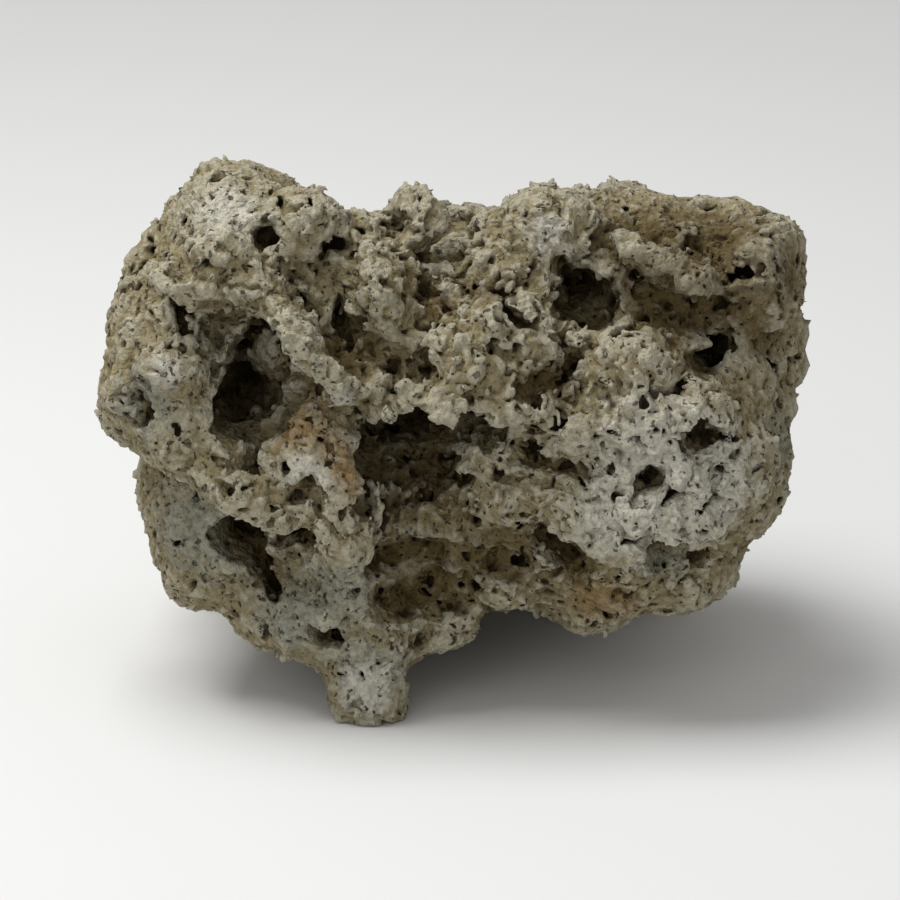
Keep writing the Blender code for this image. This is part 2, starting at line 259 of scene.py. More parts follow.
# The front carries its crust again on a finer grid, in six pieces that lie on the skin.
frontCrust = {
    "step": 0.4,
    "quickStep": 0.9,
    "low": (-86, -64, -1.2),
    "high": (86, -6, 130),
    "back": -8.0,  # Y where the crust ends
    "inset": 0.7,  # how far the skin under the crust draws back
    "fade": 6.0,  # over how much of Y it does
    "shell": 3.5,  # how deep the pieces reach
    "margin": 6,  # of the grid around a piece
    "overlap": 0.6,  # of neighbouring pieces
    "dip": 0.5,  # slope at which a piece goes under its neighbour
    "columns": (-24.0, 27.0),  # X of the seams
    "row": 62.0,  # Z of the seam
    "seamWaves": (2.2, 3.9, 1.3, 1.7, 2.3),  # height and length of two waves, and how the second leans
    "names": (
        ("flank_crust", "belly_crust", "jaw_crust"),
        ("head_crust", "face_crust", "brow_crust"),
    ),
    "crust": ((0.95, 0.55, 37),),
    "vugs": ((1.5, 0.6, 64),),
    "leastPoints": 600,  # of a loose part that is kept
    "triangles": 128000,
}

middleHeight = 62  # about which the random lattices turn
latticeSize = 64  # cells after which a wobble repeats, a power of two
latticeReach = 130  # of the lattices of balls, from the middle
farOff = 60  # the distance written where nothing is near
lastShare = 0.001  # of a cell: how near to a grid's last point it is read
workers = 4
workShare = 120000  # points that a worker takes at a time


def turned(angles):
    return Euler([math.radians(angle) for angle in angles]).to_matrix()


def turnMatrix(angles):
    return np.array(turned(angles), np.float32)


def isBuried(place, own):
    # whether a place on one lobe's skin is inside another lobe
    for name, centre, half, turn in rockForm["lobes"]:
        inner = turned(turn).transposed() @ (place - Vector(centre))
        if name != own and sum((i / h) ** 2 for i, h in zip(inner, half)) < 1:
            return True
    return False


def scattered(seed, count, sizes, sunk, nearest):
    # rows of small stretched balls at random places on the skin, more on the knobbly lobes
    dice = random.Random(seed)
    lobes = rockForm["lobes"]
    shares = [rockForm["knobbly"].get(lobe[0], 1) * math.prod(lobe[2]) ** (2 / 3) for lobe in lobes]
    rows = []
    while len(rows) < count:
        name, centre, half, turn = dice.choices(lobes, shares)[0]
        way = Vector([dice.gauss(0, 1) for _ in range(3)]).normalized()
        place = turned(turn) @ Vector([w * h for w, h in zip(way, half)]) + Vector(centre)
        out = (turned(turn) @ Vector([w / h for w, h in zip(way, half)])).normalized()
        if place.y < nearest or isBuried(place, name):
            continue
        size = dice.uniform(*sizes)
        half = [size * dice.uniform(*rockForm["stretch"]) for _ in range(3)]
        turn = [dice.uniform(0, 180) for _ in range(3)]
        rows.append((name, tuple(place - out * size * sunk), half, turn))
    return rows


def gridAxes(kind, step):
    ends = zip(kind["low"], kind["high"])
    return [np.arange(low, high, step, dtype=np.float32) for low, high in ends]


def inShares(work, arrays):
    # the work done on shares of the arrays, some at a time, and its results joined again
    count = max(1, len(arrays[0]) // workShare)
    shares = list(zip(*[np.array_split(values, count) for values in arrays]))
    with ThreadPoolExecutor(workers) as pool:
        done = list(pool.map(lambda share: work(*share), shares))
    return [np.concatenate(parts) for parts in zip(*done)]


def smoothMin(a, b, k):
    # the lower of two values, less (k - |a - b|)^2 / 4k where they differ by less than k
    h = np.maximum(k - np.abs(a - b), 0) / k
    return np.minimum(a, b) - h * h * k * 0.25


def turnedPlaces(points, seed):
    # places about the rock's middle, in a frame turned at random, so that no two lattices line up
    dice = random.Random(seed)
    turn = turnMatrix([dice.uniform(0, 360) for _ in range(3)])
    at = (points[0], points[1], points[2] - middleHeight)
    return [sum(float(turn[i, j]) * at[j] for j in range(3)) for i in range(3)]


@lru_cache(maxsize=None)
def lattice(seed):
    return np.random.default_rng(seed).uniform(-1, 1, latticeSize**3).astype(np.float32)


def wobble(points, cell, seed):
    # smooth random values from -1 to 1: a lattice of random numbers one cell apart, read between
    # its eight corners along 3t^2 - 2t^3
    numbers = lattice(seed)
    corners, shares = [], []
    for place in turnedPlaces(points, seed):
        at = place * np.float32(1 / cell)
        whole = np.floor(at)
        t = at - whole
        whole = whole.astype(np.int32)
        corners.append((whole & (latticeSize - 1), (whole + 1) & (latticeSize - 1)))
        share = t * t * (3 - 2 * t)
        shares.append((1 - share, share))
    total = 0
    for i, j in product((0, 1), repeat=2):
        row = (corners[0][i] * latticeSize + corners[1][j]) * latticeSize
        low, high = numbers[row + corners[2][0]], numbers[row + corners[2][1]]
        along = low + (high - low) * shares[2][1]
        total = total + along * shares[0][i] * shares[1][j]
    return total


def ellipsoid(points, centre, half, turn):
    # signed distance, roughly: k0 (k0 - 1) / k1, where k0 is the length of the turned point over
    # the half sizes and k1 its length over their squares
    matrix = turnMatrix(turn)
    k0, k1 = 0, 0
    for axis in range(3):
        local = sum(matrix[i, axis] * (points[i] - centre[i]) for i in range(3))
        k0 = k0 + (local / half[axis]) ** 2
        k1 = k1 + (local / half[axis] ** 2) ** 2
    k0, k1 = np.sqrt(k0), np.sqrt(k1)
    return (k0 * (k0 - 1) / np.maximum(k1, 1e-6)).astype(np.float32)


def block(axes, row, margin):
    # the grid's slices and coordinates within a margin of one row's ellipsoid
    _, centre, half, turn = row
    middle = [c - m for c, m in zip(centre, rockForm["middle"])]
    matrix = turnMatrix(turn)
    reach = np.sqrt(((matrix * np.array(half)) ** 2).sum(1)) + margin
    cut = []
    for axis, at, wide in zip(axes, middle, reach):
        start, stop = np.searchsorted(axis, (at - wide, at + wide))
        cut.append(slice(start, stop))
    xs, ys, zs = [axis[part] for axis, part in zip(axes, cut)]
    return tuple(cut), (xs[:, None, None], ys[None, :, None], zs[None, None, :]), middle


def addRows(solid, axes, rows, blend):
    # joins rows of ellipsoids to the solid, run together over the blend
    for row in rows:
        cut, points, middle = block(axes, row, rockSkin["band"] + blend)
        if solid[cut].size:
            solid[cut] = smoothMin(solid[cut], ellipsoid(points, middle, *row[2:]), blend)


def cutRows(solid, axes, rows, rim):
    # cuts rows of ellipsoids out of the solid, with their skins bent and their rims rounded
    for row in rows:
        cut, points, middle = block(axes, row, rockSkin["band"] + rockSkin["warpReach"])
        if solid[cut].size:
            hollow = ellipsoid(bent(points, rockSkin["warp"]), middle, *row[2:])
            solid[cut] = -smoothMin(-solid[cut], hollow, rim)


def bent(points, waves):
    # places shifted by random waves: along each axis by the sum of some wobbles
    moved = []
    for axis, place in enumerate(points):
        shift = sum(size * wobble(points, cell, seed + 100 * axis) for cell, size, seed in waves)
        moved.append(place + shift)
    return moved


def crustAt(points):
    # the share of the full crust: the mean of the patches, each weighed by exp(-fall (far / reach)^2)
    weights = rockSkin["crustRest"]
    total = weights * rockSkin["crustShare"]
    for _, centre, reach, share in rockSkin["crustPatches"]:
        far = sum((p - (c - m)) ** 2 for p, c, m in zip(points, centre, rockForm["middle"]))
        weight = np.exp(-rockSkin["crustFall"] * far / reach**2)
        total = total + weight * share
        weights = weights + weight
    return total / weights


def ballSet(sample, layer, wanted, crusty):
    # small balls, one near the middle of each cell of a turned lattice, kept where the skin is at a
    # wanted distance from its centre, as a share of its size
    cell, smallest, largest, seed, kept = layer
    dice = np.random.default_rng(seed)
    count = int(2 * latticeReach / cell) + 3
    size = dice.uniform(smallest, largest, (count, count, count)).astype(np.float32)
    even = (np.arange(count, dtype=np.float32) - 0.5) * cell - latticeReach
    loose = rockSkin["jitter"] * cell
    centres = []
    for axis in range(3):
        shape = [1, 1, 1]
        shape[axis] = -1
        jitter = dice.uniform(-loose, loose, size.shape).astype(np.float32)
        centres.append(even.reshape(shape) + jitter)
    spun = random.Random(seed)
    turn = turnMatrix([spun.uniform(0, 360) for _ in range(3)])
    world = [sum(float(turn[i, j]) * centres[i] for i in range(3)) for j in range(3)]
    world[2] += middleHeight
    depth = sample(world)
    share = crustAt(world) if crusty else 1
    outOfPlace = (depth < wanted[0] * size) | (depth > wanted[1] * size)
    size[outOfPlace | (dice.random(size.shape) > kept * share)] = -farOff
    balls = [values.ravel() for values in centres + [size]]
    return {"cell": cell, "count": count, "seed": seed, "balls": balls}


def ballDistance(points, layer):
    # signed distance to the nearest ball of a set, from the eight cells around each place
    points = turnedPlaces(points, layer["seed"])
    start = [np.floor((p + latticeReach) / layer["cell"]).astype(np.int32) for p in points]
    *centres, size = layer["balls"]
    count = layer["count"]
    nearest = np.full(points[0].shape, farOff, np.float32)
    for i, j, k in product((0, 1), repeat=3):
        at = ((start[0] + i) * count + start[1] + j) * count + start[2] + k
        far = sum((p - c[at]) ** 2 for p, c in zip(points, centres))
        nearest = np.minimum(nearest, np.sqrt(far) - size[at])
    return nearest


def sampler(solid, axes):
    # reads the grid at any place, to the nearest point of it
    def sample(places):
        at = []
        for place, axis in zip(places, axes):
            nearest = np.rint((place - axis[0]) / (axis[1] - axis[0])).astype(np.int32)
            at.append(np.clip(nearest, 0, len(axis) - 1))
        return solid[at[0], at[1], at[2]]
    return sample


def smoothForm(axes):
    # signed distance to the lobes and growths less the hollows, on a grid, in slabs along X
    lumps, knobs = scattered(**rockForm["lumps"]), scattered(**rockForm["knobs"])
    dents, pits = scattered(**rockForm["dents"]), scattered(**rockForm["pits"])
    hollows = rockForm["hollows"] + rockSkin["deeper"]

    def slab(xs):
        part = [xs, axes[1], axes[2]]
        solid = np.full([len(axis) for axis in part], farOff, np.float32)
        addRows(solid, part, rockForm["lobes"], rockForm["lobeBlend"])
        addRows(solid, part, lumps, rockForm["lumpBlend"])
        addRows(solid, part, knobs, rockForm["knobBlend"])
        cutRows(solid, part, dents, 2 * rockForm["rim"])
        cutRows(solid, part, pits, rockForm["rim"])
        cutRows(solid, part, hollows, rockForm["rim"])
        addRows(solid, part, rockSkin["fuller"], rockForm["knobBlend"])
        return solid

    with ThreadPoolExecutor(workers) as pool:
        return np.concatenate(list(pool.map(slab, np.array_split(axes[0], 3 * workers))))


def crusted(x, y, z, skin, crust, vugs):
    # swells, crust and ragged holes on the smooth form: its new distance, and the bent places
    points = [x, y, z]
    for cell, height, seed in rockSkin["swell"]:
        skin = skin + height * wobble(points, cell, seed)
    points = bent(points, rockSkin["bend"])
    share = crustAt(points)
    fineShare = rockSkin["fineShare"] + (1 - rockSkin["fineShare"]) * share
    for cell, height, seed in crust:
        # round hills with sharp valleys between them: the size of a wobble without its sign
        hills = np.abs(wobble(points, cell, seed)) - rockSkin["crustMean"]
        skin = skin - height * (share if cell > rockSkin["fineCell"] else fineShare) * hills
    for cell, least, seed in vugs:
        # ragged holes where a wobble is over its least value
        skin = np.maximum(skin, (wobble(points, cell, seed) - least) * cell * rockSkin["vugDepth"])
    return skin, *points


def grained(skin, x, y, z, grains):
    # the lower of the distances to the skin and to the nearest ball, run together
    for layer in grains:
        skin = smoothMin(skin, ballDistance((x, y, z), layer), rockSkin["grainBlend"])
    return (skin,)


def pored(skin, x, y, z, pores):
    # the skin less the nearest ball
    for layer in pores:
        skin = -smoothMin(-skin, ballDistance((x, y, z), layer), rockSkin["poreRim"])
    return (skin,)


def stoneField(step):
    # signed distance to the stone's skin on a grid, negative inside, with the smooth form under it
    # and the balls that grain and pore it
    kind = rockSkin
    axes = gridAxes(kind, step)
    smooth = smoothForm(axes)
    stage("lobes, growths and hollows")
    near = np.nonzero(np.abs(smooth) < kind["band"])
    points = [axis[at] for axis, at in zip(axes, near)]
    solid = smooth.copy()
    skin, *points = inShares(lambda *a: crusted(*a, kind["crust"], kind["vugs"]), [*points, solid[near]])
    solid[near] = skin
    stage(f"crust and vugs at {len(skin)} points")
    grains = [ballSet(sampler(solid, axes), layer, kind["grainDepth"], True) for layer in kind["grains"]]
    (skin,) = inShares(lambda *a: grained(*a, grains), [skin, *points])
    solid[near] = skin
    stage("grains")
    pores = [ballSet(sampler(solid, axes), layer, kind["poreDepth"], False) for layer in kind["pores"]]
    (skin,) = inShares(lambda *a: pored(*a, pores), [skin, *points])
    solid[near] = skin
    stage("pores")
    return {"axes": axes, "step": step, "smooth": smooth, "solid": solid, "grains": grains, "pores": pores}


def resampled(grid, axes, finer):
    # the grid's values on another grid's points, in a straight line from each point to the next
    for axis in (1, 0, 2):
        own = axes[axis]
        at = np.clip((finer[axis] - own[0]) / (own[1] - own[0]), 0, len(own) - 1 - lastShare)
        whole = at.astype(np.int32)
        share = (at - whole).astype(np.float32).reshape([-1 if a == axis else 1 for a in range(3)])
        grid = np.take(grid, whole, axis) * (1 - share) + np.take(grid, whole + 1, axis) * share
    return grid


def crustField(stone, step):
    # the front of the stone's skin again on a finer grid, with crust and holes that are finer too
    axes = gridAxes(frontCrust, step)
    smooth = resampled(stone["smooth"], stone["axes"], axes)
    near = np.nonzero(np.abs(smooth) < rockSkin["band"])
    points = [axis[at] for axis, at in zip(axes, near)]
    crust, vugs = rockSkin["crust"] + frontCrust["crust"], rockSkin["vugs"] + frontCrust["vugs"]
    skin, *points = inShares(lambda *a: crusted(*a, crust, vugs), [*points, smooth[near]])
    (skin,) = inShares(lambda *a: grained(*a, stone["grains"]), [skin, *points])
    (skin,) = inShares(lambda *a: pored(*a, stone["pores"]), [skin, *points])
    solid = smooth.copy()
    solid[near] = skin
    stage(f"fine crust at {len(skin)} points")
    return {"axes": axes, "step": step, "smooth": smooth, "solid": np.maximum(solid, -axes[2])}


def surfaceNets(field, low, step):
    # a closed net of quads where the field crosses zero: one point in each cell that it crosses,
    # at the mean of the crossings on the cell's edges
    inside = field < 0
    count = np.zeros([n - 1 for n in field.shape], np.int8)
    corners = list(product((0, 1), repeat=3))
    for corner in corners:
        count += inside[tuple(slice(c, n - 1 + c) for c, n in zip(corner, inside.shape))]
    crossed = (count > 0) & (count < 8)
    cells = np.argwhere(crossed)
    number = np.full(crossed.shape, -1, np.int32)
    number[crossed] = np.arange(len(cells))
    value = {c: field[cells[:, 0] + c[0], cells[:, 1] + c[1], cells[:, 2] + c[2]] for c in corners}
    total = np.zeros((len(cells), 3), np.float32)
    crossings = np.zeros(len(cells), np.float32)
    for start in corners:
        for axis in range(3):
            if start[axis]:
                continue
            end = tuple(1 if a == axis else s for a, s in enumerate(start))
            a, b = value[start], value[end]
            hit = (a < 0) != (b < 0)
            point = np.zeros((len(cells), 3), np.float32) + np.array(start, np.float32)
            point[:, axis] = np.where(hit, a / np.where(hit, a - b, 1), 0)
            total[hit] += point[hit]
            crossings[hit] += 1
    places = (cells + total / crossings[:, None]) * step + np.array(low, np.float32)
    quads = []
    for axis in range(3):
        first = [slice(1, n - 1) for n in field.shape]
        first[axis] = slice(0, field.shape[axis] - 1)
        second = list(first)
        second[axis] = slice(1, field.shape[axis])
        here, there = inside[tuple(first)], inside[tuple(second)]
        at = np.argwhere(here != there) + np.array([0 if a == axis else 1 for a in range(3)])
        outward = here[here != there]
        u, v = ((1, 2), (2, 0), (0, 1))[axis]
        ring = []
        for du, dv in ((1, 1), (0, 1), (0, 0), (1, 0)):
            cell = at.copy()
            cell[:, u] -= du
            cell[:, v] -= dv
            ring.append(number[cell[:, 0], cell[:, 1], cell[:, 2]])
        ring = np.stack(ring, 1)
        ring[~outward] = ring[~outward][:, ::-1]
        quads.append(ring)
    return places, np.concatenate(quads)


def largePieces(places, quads, leastPoints):
    # drops loose crumbs and closed bubbles: each point takes the lowest number in its piece
    label = np.arange(len(places), dtype=np.int32)
    while True:
        lowest = label[quads].min(1)
        fresh = label.copy()
        for corner in range(4):
            np.minimum.at(fresh, quads[:, corner], lowest)
        fresh = fresh[fresh]
        if (fresh == label).all():
            break
        label = fresh
    count = np.bincount(label)
    kept = (count >= min(leastPoints, count.max()))[label]
    renumber = np.cumsum(kept) - 1
    return places[kept], renumber[quads[kept[quads[:, 0]]]]


def placed(name, data):
    # a new object in the scene
    made = bpy.data.objects.new(name, data)
    bpy.context.scene.collection.objects.link(made)
    return made


def meshOf(name, places, quads):
    # an object of the quads between the places, in millimetres
    mesh = bpy.data.meshes.new(name)
    mesh.vertices.add(len(places))
    mesh.vertices.foreach_set("co", (places * 0.001).astype(np.float32).ravel())
    mesh.loops.add(quads.size)
    mesh.loops.foreach_set("vertex_index", quads.astype(np.int32).ravel())
    mesh.polygons.add(len(quads))
    mesh.polygons.foreach_set("loop_start", np.arange(0, quads.size, quads.shape[1], dtype=np.int32))
    mesh.update(calc_edges=True)
    mesh.validate()
    mesh.shade_smooth()
    return placed(name, mesh)


def boxMean(grid, reach):
    # the mean over a cube that reaches so many cells to each side
    for axis in range(3):
        edges = [(0, 0)] * 3
        edges[axis] = (reach + 1, reach)
        total = np.cumsum(np.pad(grid, edges, mode="edge"), axis=axis, dtype=np.float64)
        high = np.take(total, range(2 * reach + 1, total.shape[axis]), axis)
        low = np.take(total, range(total.shape[axis] - 2 * reach - 1), axis)
        grid = ((high - low) / (2 * reach + 1)).astype(np.float32)
    return grid


def readGrid(grid, low, step, places):
    # values between the grid's points, in a straight line from each to the next
    at = np.clip((places - low) / step, 0, np.array(grid.shape) - 1 - lastShare)
    whole = at.astype(np.int32)
    t = at - whole
    total = 0
    for i, j, k in product((0, 1), repeat=3):
        weight = 1
        for axis, near in enumerate((i, j, k)):
            weight = weight * (t[:, axis] if near else 1 - t[:, axis])
        total = total + weight * grid[whole[:, 0] + i, whole[:, 1] + j, whole[:, 2] + k]
    return total


# How the stone weathered, and where shade is painted on it, written on the skin's points for its material:
# how much stone is within a reach of each, in mm, from 0 in the open to 1 deep in a hollow, where the
# material paints shade and some brown stain, and where stains, a painted shadow and bare chalk lie.
rockWearAndShade = {
    "depths": (("gap", 1.5), ("recess", 5.0), ("cave", 12.0)),
    "gridEvery": 2,  # points of the skin's grid for one of this
    "creviceRounds": 2,  # how often the fine crevices are smoothed
    "patches": {  # centre and reach
        "ochre": (
            (-30, -47, 77, 5), (-26, -49, 70, 5), (-22, -49, 63, 5), (-21, -47, 55, 4),
            (-34, -38, 72, 8), (-35, -46, 71, 5), (35, -38, 30, 11), (40, -28, 27, 7),
        ),
        "white": (
            (23, -32, 113, 7), (-50, -30, 118, 11), (-62, -44, 84, 6), (46, -52, 66, 21),
            (60, -46, 58, 13), (38, -52, 52, 10), (-33, -46, 94, 6), (-24, -48, 80, 4),
            (-31, -50, 63, 7), (-18, -46, 10, 9),
        ),
        "grey": (
            (-70, -40, 76, 11), (-24, -46, 34, 9), (-17, -46, 12, 12), (-60, -38, 44, 16),
            (-38, -44, 28, 14), (50, -44, 41, 9), (70, -24, 62, 12),
        ),
        # brown stains; the five at the upper right of the brow, X 48 to 72 and Z 97 to 113, are a painted
        # shadow, as of a stone lying over that part
        "brown": (
            (-2, -42, 35, 15), (14, -40, 40, 11), (48, -36, 99, 12), (62, -22, 108, 20),
            (48, -28, 113, 15), (72, -22, 97, 13), (58, -32, 103, 15), (-5, -24, 62, 15),
            (-6, -32, 52, 8), (-22, -40, 88, 8), (24, -46, 84, 8), (10, -40, 103, 9),
            (-50, -42, 93, 10), (-45, -42, 42, 10), (-41, -38, 34, 7), (20, -42, 78, 9),
            (-8, -34, 102, 8), (30, -42, 38, 8),
        ),
    },
}


def wearAndShadeGrids(stone):
    # how much stone is within each reach of a place: the share of each cell that is under the skin,
    # as a mean over a cube taken twice
    every = rockWearAndShade["gridEvery"]
    step = stone["step"] * every
    filled = np.clip(0.5 - stone["solid"][::every, ::every, ::every] / step, 0, 1)
    grids = {}
    for name, reach in rockWearAndShade["depths"]:
        cells = max(1, round(reach / step))
        grids[name] = boxMean(boxMean(filled, cells), cells)
    return grids, step


def meanOfNeighbours(values, edges, count):
    # for each point, the mean of the values at the other ends of its edges
    a, b = edges.T
    return (np.bincount(a, values[b], len(values)) + np.bincount(b, values[a], len(values))) / count


def patchShares(places):
    # how far each place, in mm, is in the stained and bare patches: exp(-(far / reach)^2), joined
    shares = {}
    for name, patches in rockWearAndShade["patches"].items():
        shares[name] = 0
        for *centre, reach in patches:
            far = sum((places[:, a] - (centre[a] - rockForm["middle"][a])) ** 2 for a in range(3))
            shares[name] = 1 - (1 - shares[name]) * (1 - np.exp(-far / reach**2))
    return shares


def writeWearAndShade(mesh, grids, step):
    # writes on each point how it weathered, and the hollows and crevices where shade is painted
    points = len(mesh.vertices)
    places, normals = np.empty(points * 3, np.float32), np.empty(points * 3, np.float32)
    mesh.vertices.foreach_get("co", places)
    mesh.vertices.foreach_get("normal", normals)
    places, normals = places.reshape(-1, 3) * 1000, normals.reshape(-1, 3)
    low = np.array(rockSkin["low"], np.float32)
    wornAndShaded = {name: readGrid(grid, low, step, places) for name, grid in grids.items()}
    wornAndShaded.update(patchShares(places))
    # how far the neighbours of each point stand over it along its normal, in mean lengths of an edge: the
    # fine crevices, where shade is painted dark
    edges = np.empty(len(mesh.edges) * 2, np.int32)
    mesh.edges.foreach_get("vertices", edges)
    count = np.maximum(np.bincount(edges, minlength=points), 1)
    edges = edges.reshape(-1, 2)
    rise = 0
    for axis in range(3):
        own = places[:, axis]
        rise = rise + (meanOfNeighbours(own, edges, count) - own) * normals[:, axis]
    for _ in range(rockWearAndShade["creviceRounds"]):
        rise = (rise + meanOfNeighbours(rise, edges, count)) / 2
    lengths = np.linalg.norm(places[edges[:, 0]] - places[edges[:, 1]], axis=1)
    wornAndShaded["crevice"] = rise / lengths.mean()
    for name, values in wornAndShaded.items():
        layer = mesh.attributes.new(name, "FLOAT", "POINT")
        layer.data.foreach_set("value", np.asarray(values, np.float32))


def thinned(name, places, quads, triangles, hidden):
    # a mesh of fewer faces, taken where the skin is flattest, and first where it is hidden
    rough = meshOf("rough_" + name, places, quads)
    fewer = rough.modifiers.new("fewer faces", "DECIMATE")
    fewer.ratio = min(1, triangles / (2 * len(quads)))
    if hidden:
        group = rough.vertex_groups.new(name="thin_first")
        far, near = rockSkin["hidden"]
        levels = rockSkin["hiddenLevels"]
        level = np.rint(levels * np.clip((near - places[:, 1]) / (near - far), 0, 1)).astype(int)
        for step in range(levels + 1):
            group.add(np.nonzero(level == step)[0].tolist(), (step + 1) / (levels + 1), "REPLACE")
        fewer.vertex_group = group.name
        fewer.vertex_group_factor = rockSkin["hiddenFactor"]
    mesh = bpy.data.meshes.new_from_object(rough.evaluated_get(bpy.context.evaluated_depsgraph_get()))
    bpy.data.objects.remove(rough)
    left = np.empty(len(mesh.vertices) * 3, np.float32)
    mesh.vertices.foreach_get("co", left)
    left[2::3] = np.maximum(left[2::3], 0)  # nothing reaches under the floor
    mesh.vertices.foreach_set("co", left)
    mesh.name = name
    stage(f"{name}: {2 * len(quads)} faces thinned to {len(mesh.polygons)}")
    return placed(name, mesh)


def makeSkin(stone):
    # the whole skin, drawn back a little where the fine crust covers it
    ys = stone["axes"][1]
    t = np.clip((frontCrust["back"] - ys) / frontCrust["fade"], 0, 1)
    inset = frontCrust["inset"] * t * t * (3 - 2 * t)
    field = np.maximum(stone["solid"] + inset[None, :, None], -stone["axes"][2])
    places, quads = surfaceNets(field, rockSkin["low"], stone["step"])
    places, quads = largePieces(places, quads, len(places))
    return thinned("rock_skin", places, quads, rockSkin["triangles"], True)


def seamShift(along, across):
    # how far a seam swings to the side, in mm: the sum of two sine waves
    high, long, low, short, lean = frontCrust["seamWaves"]
    return high * np.sin(along / long) + low * np.sin(along / short + across / lean)


def makeCrust(crust, row, column):
    # one piece of the front's crust: the skin's field, which sinks outside the piece's own part of
    # the front and is cut off a little way out, and the inner wall of its shell
    kind = frontCrust
    edges = (-np.inf, *kind["columns"], np.inf)
    levels = (-np.inf, kind["row"], np.inf)
    xs, ys, zs = crust["axes"]
    reach = (-kind["margin"], kind["margin"])
    left, right = np.searchsorted(xs, np.array(edges[column : column + 2]) + reach)
    bottom, top = np.searchsorted(zs, np.array(levels[row : row + 2]) + reach)
    x, y, z = xs[left:right, None, None], ys[None, :, None], zs[None, None, bottom:top]
    # how far outside its own part a place is
    outside = np.maximum(edges[column] + seamShift(z, y) - x, x - edges[column + 1] - seamShift(z, y))
    outside = np.maximum(outside, levels[row] + seamShift(x, y) - z)
    outside = np.maximum(outside, z - levels[row + 1] - seamShift(x, y))
    outside = np.maximum(outside, y - kind["back"])
    field = crust["solid"][left:right, :, bottom:top] + kind["dip"] * np.maximum(outside, 0)
    field = np.maximum(field, outside - kind["overlap"])
    field = np.maximum(field, -kind["shell"] - crust["smooth"][left:right, :, bottom:top])
    places, quads = surfaceNets(field, (xs[left], ys[0], zs[bottom]), crust["step"])
    places, quads = largePieces(places, quads, kind["leastPoints"])
    return thinned(kind["names"][row][column], places, quads, kind["triangles"], False)


def makeRock():
    stone = stoneField(rockSkin["step"])
    grids, gridStep = wearAndShadeGrids(stone)
    stage("wear grids")
    pieces = [makeSkin(stone)]
    crust = crustField(stone, frontCrust["step"])
    pieces += [makeCrust(crust, row, column) for row in (0, 1) for column in (0, 1, 2)]
    for piece in pieces:
        writeWearAndShade(piece.data, grids, gridStep)
    stage("wear")
    return pieces


# The stone's finish: linear colours, sizes in millimetres. Where one colour goes over another, the
# three values are where it starts, where it is full and how much of it there is at most.
reefStone = {
    "colours": {
        "chalk": (0.32, 0.292, 0.21),
        "tan": (0.215, 0.178, 0.1),
        # brown: stains, and painted shade in the recesses
        "brown": (0.085, 0.058, 0.02),
        # dark: painted shade in caves, gaps, pinholes and fine crevices
        "dark": (0.014, 0.009, 0.003),
        "ochre": (0.22, 0.14, 0.055),
        "white": (0.45, 0.43, 0.36),
        "grey": (0.2, 0.2, 0.155),
    },
    "roughness": 0.95,
    "specular": 0.2,
    "broad": (22, 3, 0.55),  # noises: size, detail and roughness
    "fine": (3.2, 4, 0.65),
    "speck": (1.1, 3, 0.7),
    "pinhole": (1.7, 2, 0.5),
    "nodule": 1.5,  # size
    "waver": (2.5, 2, 0.0013),  # of nodules: its size for theirs, detail and depth
    "ragged": 1.4,  # how ragged the edges of patches are
    "crestGap": (0.56, 0.3),  # how little stone is near a crest: where it starts and is full
    "crest": (0.9, 0.6),  # shares of broad and fine in it
    "chalkOver": (0.95, 1.75, 1.0),
    "greyOver": (0.3, 0.95, 0.85),
    "whiteOver": (0.3, 0.95, 0.85),
    "ochreOver": (0.3, 0.95, 0.8),
    # brown stains with painted shade: the brown patches, some of them a painted shadow, and the recesses
    "stainAndShade": (0.5, 1.6),  # shares of ragged and of the recess in it
    "stainAndShadeOver": (0.15, 0.8, 0.85),
    # painted shade, partly stain: brown deep in the recesses
    "deep": (0.4, 0.1),  # shares of broad and ragged in it
    "deepOver": (0.5, 0.7, 0.9),
    # painted shade, dark deep in the caves
    "caveOver": (0.68, 0.9, 0.4),
    # painted shade, dark in the gaps
    "gap": (0.08,),  # share of ragged in it
    "gapOver": (0.56, 0.76, 0.8),
    # pinholes painted dark as the shade in them
    "pinholeOver": (0.36, 0.3, 0.75),
    # painted shade, dark in the fine crevices
    "creviceOver": (0.05, 0.3, 0.7),
    "edgeOver": (-0.08, -0.4, 0.3),
    "toneStart": 0.62,
    # the edge of each nodule is painted shade between the nodules
    "tone": (1.0, 0.35, -0.3),  # shares of the speck, the nodule's shade and its edge in it
    "noduleEdge": (0.45, 0.85),
    "bump": (1.2, -0.55, -1.2),  # shares of fine, nodule and pinhole in it, over the speck
    "bumpStrength": 1.0,
    "bumpDepth": 0.0011,  # m
}


def addNode(tree, kind, values=None, **settings):
    # a node with its settings and its inputs: a link for a socket, a value for anything else
    made = tree.nodes.new(kind)
    for name, value in settings.items():
        setattr(made, name, value)
    for name, value in (values or {}).items():
        if isinstance(value, bpy.types.NodeSocket):
            tree.links.new(value, made.inputs[name])
        else:
            made.inputs[name].default_value = value
    return made


def mathNode(tree, operation, a, b):
    return addNode(tree, "ShaderNodeMath", {0: a, 1: b}, operation=operation).outputs[0]


def vectorNode(tree, operation, values):
    return addNode(tree, "ShaderNodeVectorMath", values, operation=operation).outputs[0]


def ramp(tree, value, low, high):
    # 0 at low and below, 1 at high and above, soft at both ends
    values = {"Value": value, "From Min": low, "From Max": high}
    return addNode(tree, "ShaderNodeMapRange", values, interpolation_type="SMOOTHSTEP").outputs["Result"]


def summed(tree, start, values, shares):
    # the start and its share of each value
    total = start
    for value, share in zip(values, shares):
        total = mathNode(tree, "ADD", total, mathNode(tree, "MULTIPLY", value, share))
    return total


def mixed(tree, share, below, above, blend="MIX"):
    made = addNode(tree, "ShaderNodeMix", {0: share, 6: below, 7: above}, data_type="RGBA", blend_type=blend)
    return made.outputs[2]


